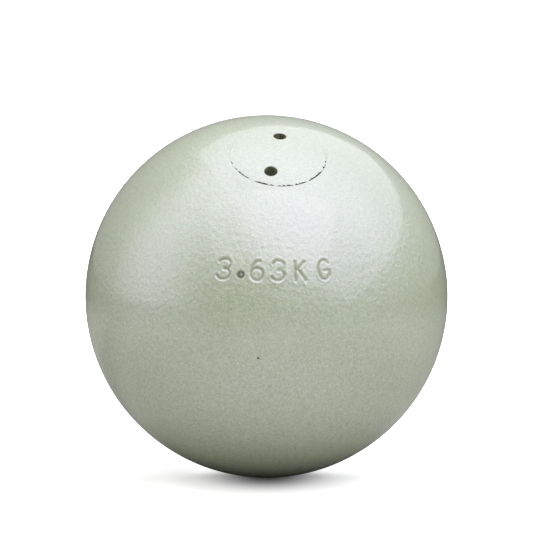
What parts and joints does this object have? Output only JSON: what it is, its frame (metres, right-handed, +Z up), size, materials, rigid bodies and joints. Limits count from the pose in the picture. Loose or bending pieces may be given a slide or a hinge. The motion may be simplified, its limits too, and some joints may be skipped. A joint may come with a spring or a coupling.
{
  "type": "shot put ball",
  "caption": "Painted iron shot put ball with a screwed flush closing plug, sealing ring and ballast chamber packed with lead balls.",
  "frame": {"origin": "centre of the ball", "axes": "+Z up as the ball lies on a flat surface, -Y towards the viewer who faces the stamped weight mark; the chamber's axis leans 33.7 degrees from +Z towards -Y and swings 6.5 degrees towards +X"},
  "size_m": [0.099, 0.099, 0.099],
  "materials": {
    "painted_iron": "satin",
    "seal_rubber": "matte",
    "packing": "matte",
    "lead": "satin"
  },
  "bodies": {
    "shell": {"ball_body": "painted_iron", "packing_felt": "packing", "lead_ball_01": "lead", "lead_ball_02": "lead", "lead_ball_03": "lead", "lead_ball_04": "lead", "lead_ball_05": "lead", "lead_ball_06": "lead", "lead_ball_07": "lead", "lead_ball_08": "lead", "lead_ball_09": "lead", "lead_ball_10": "lead", "lead_ball_11": "lead", "lead_ball_12": "lead", "lead_ball_13": "lead", "lead_ball_14": "lead", "lead_ball_15": "lead", "lead_ball_16": "lead", "lead_ball_17": "lead", "lead_ball_18": "lead", "lead_ball_19": "lead", "lead_ball_20": "lead", "lead_ball_21": "lead", "lead_ball_22": "lead", "lead_ball_23": "lead", "lead_ball_24": "lead", "lead_ball_25": "lead"},
    "seal": {"seal_ring": "seal_rubber"},
    "plug": {"plug": "painted_iron"}
  },
  "joints": [
    {"name": "plug_lift", "type": "slide", "parent": "shell", "child": "seal", "axis": [0.0628, -0.5513, 0.832], "range_m": [0, 0.01375]},
    {"name": "plug_turn", "type": "hinge", "parent": "seal", "child": "plug", "pos_m": [0, 0, 0], "axis": [0.0628, -0.5513, 0.832], "range_deg": [0, 1980]}
  ],
  "couplings": [
    {"joint": "plug_lift", "follows": "plug_turn", "m_per_rad": 0.00039789}
  ]
}
